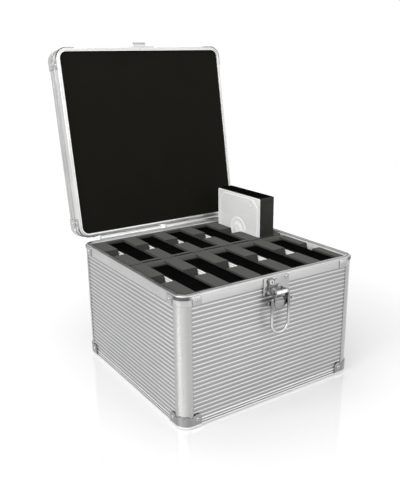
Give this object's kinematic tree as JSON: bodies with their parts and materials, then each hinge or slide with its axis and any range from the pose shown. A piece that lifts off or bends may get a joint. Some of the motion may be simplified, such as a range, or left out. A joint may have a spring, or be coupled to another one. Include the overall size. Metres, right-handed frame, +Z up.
{
  "type": "hard drive case",
  "caption": "Ribbed metal carrying case with a hinged lid, a latch and slotted foam that holds upright hard drives; the lid is open and one drive is raised.",
  "frame": {"origin": "centre of the underside of the case's body", "axes": "+Z up; the latch is on the -Y side and the hinges are on the +Y side; X along the case's width"},
  "size_m": [0.2646, 0.3464, 0.4244],
  "materials": {
    "frame_profile": "satin",
    "ribbed_panel": "satin",
    "bottom_panel": "satin",
    "lining": "satin",
    "corner_fittings": "gloss",
    "rivets": "gloss",
    "slotted_foam": "matte",
    "lid_foam": "matte",
    "hinges": "satin",
    "latch": "gloss",
    "handle_steel": "gloss",
    "handle_grip": "matte",
    "drive": "satin"
  },
  "bodies": {
    "case_body": {"bottom_panel": "bottom_panel", "bottom_edge": "frame_profile", "front_panel": "ribbed_panel", "back_panel": "ribbed_panel", "left_panel": "ribbed_panel", "right_panel": "ribbed_panel", "lining_boards": "lining", "post_back_right": "frame_profile", "post_back_left": "frame_profile", "post_front_left": "frame_profile", "post_front_right": "frame_profile", "body_rim": "frame_profile", "body_brackets": "corner_fittings", "cap_back_right": "corner_fittings", "cap_back_left": "corner_fittings", "cap_front_left": "corner_fittings", "cap_front_right": "corner_fittings", "body_rivets": "rivets", "foam_pad": "slotted_foam", "foam_front": "slotted_foam", "foam_back": "slotted_foam", "hinge_body_leaves": "hinges", "hinge_pins": "hinges", "latch_plate": "latch", "latch_pin": "latch", "lock_housing": "latch"},
    "lid": {"hinge_lid_leaves": "hinges", "lid_rim": "frame_profile", "lid_frame": "frame_profile", "lid_panel": "ribbed_panel", "lid_foam": "lid_foam", "lid_brackets": "corner_fittings", "lid_cap_back_right": "corner_fittings", "lid_cap_back_left": "corner_fittings", "lid_cap_front_left": "corner_fittings", "lid_cap_front_right": "corner_fittings", "lid_rivets": "rivets", "latch_keeper": "latch", "handle_brackets": "handle_steel"},
    "handle": {"handle_bow": "handle_steel", "handle_grip": "handle_grip"},
    "lever": {"latch_lever": "latch"},
    "bail": {"latch_bail": "latch"},
    "lock": {"lock_plug": "latch"},
    "drive_front_1": {"drive_front_1": "drive"},
    "drive_front_2": {"drive_front_2": "drive"},
    "drive_front_3": {"drive_front_3": "drive"},
    "drive_front_4": {"drive_front_4": "drive"},
    "drive_front_5": {"drive_front_5": "drive"},
    "drive_back_1": {"drive_back_1": "drive"},
    "drive_back_2": {"drive_back_2": "drive"},
    "drive_back_3": {"drive_back_3": "drive"},
    "drive_back_4": {"drive_back_4": "drive"},
    "drive_back_5": {"drive_back_5": "drive"}
  },
  "joints": [
    {"name": "lid_hinge", "type": "hinge", "parent": "case_body", "child": "lid", "pos_m": [0, 0.1312, 0.16215], "axis": [-1, 0, 0], "range_deg": [-99.5, 0]},
    {"name": "handle_swivel", "type": "hinge", "parent": "lid", "child": "handle", "pos_m": [0, 0.1946, 0.2947], "axis": [1, 0, 0], "range_deg": [-9.5, 80.5]},
    {"name": "lever_swivel", "type": "hinge", "parent": "case_body", "child": "lever", "pos_m": [0.001, -0.137, 0.1435], "axis": [-1, 0, 0], "range_deg": [0, 110]},
    {"name": "bail_swivel", "type": "hinge", "parent": "lever", "child": "bail", "pos_m": [0.001, -0.1362, 0.136], "axis": [1, 0, 0], "range_deg": [-174.7, 0]},
    {"name": "lock_turn", "type": "hinge", "parent": "case_body", "child": "lock", "pos_m": [-0.0085, -0.1302, 0.1556], "axis": [0, -1, 0], "range_deg": [0, 90]},
    {"name": "drive_front_1_slide", "type": "slide", "parent": "case_body", "child": "drive_front_1", "axis": [0, 0, 1], "range_m": [0, 0.15]},
    {"name": "drive_front_2_slide", "type": "slide", "parent": "case_body", "child": "drive_front_2", "axis": [0, 0, 1], "range_m": [0, 0.15]},
    {"name": "drive_front_3_slide", "type": "slide", "parent": "case_body", "child": "drive_front_3", "axis": [0, 0, 1], "range_m": [0, 0.15]},
    {"name": "drive_front_4_slide", "type": "slide", "parent": "case_body", "child": "drive_front_4", "axis": [0, 0, 1], "range_m": [0, 0.15]},
    {"name": "drive_front_5_slide", "type": "slide", "parent": "case_body", "child": "drive_front_5", "axis": [0, 0, 1], "range_m": [0, 0.15]},
    {"name": "drive_back_1_slide", "type": "slide", "parent": "case_body", "child": "drive_back_1", "axis": [0, 0, 1], "range_m": [0, 0.15]},
    {"name": "drive_back_2_slide", "type": "slide", "parent": "case_body", "child": "drive_back_2", "axis": [0, 0, 1], "range_m": [0, 0.15]},
    {"name": "drive_back_3_slide", "type": "slide", "parent": "case_body", "child": "drive_back_3", "axis": [0, 0, 1], "range_m": [0, 0.15]},
    {"name": "drive_back_4_slide", "type": "slide", "parent": "case_body", "child": "drive_back_4", "axis": [0, 0, 1], "range_m": [0, 0.15]},
    {"name": "drive_back_5_slide", "type": "slide", "parent": "case_body", "child": "drive_back_5", "axis": [0, 0, 1], "range_m": [-0.058, 0]}
  ],
  "couplings": [
    {"joint": "drive_back_5_slide", "follows": "lid_hinge", "m_per_rad": 0.033398}
  ]
}
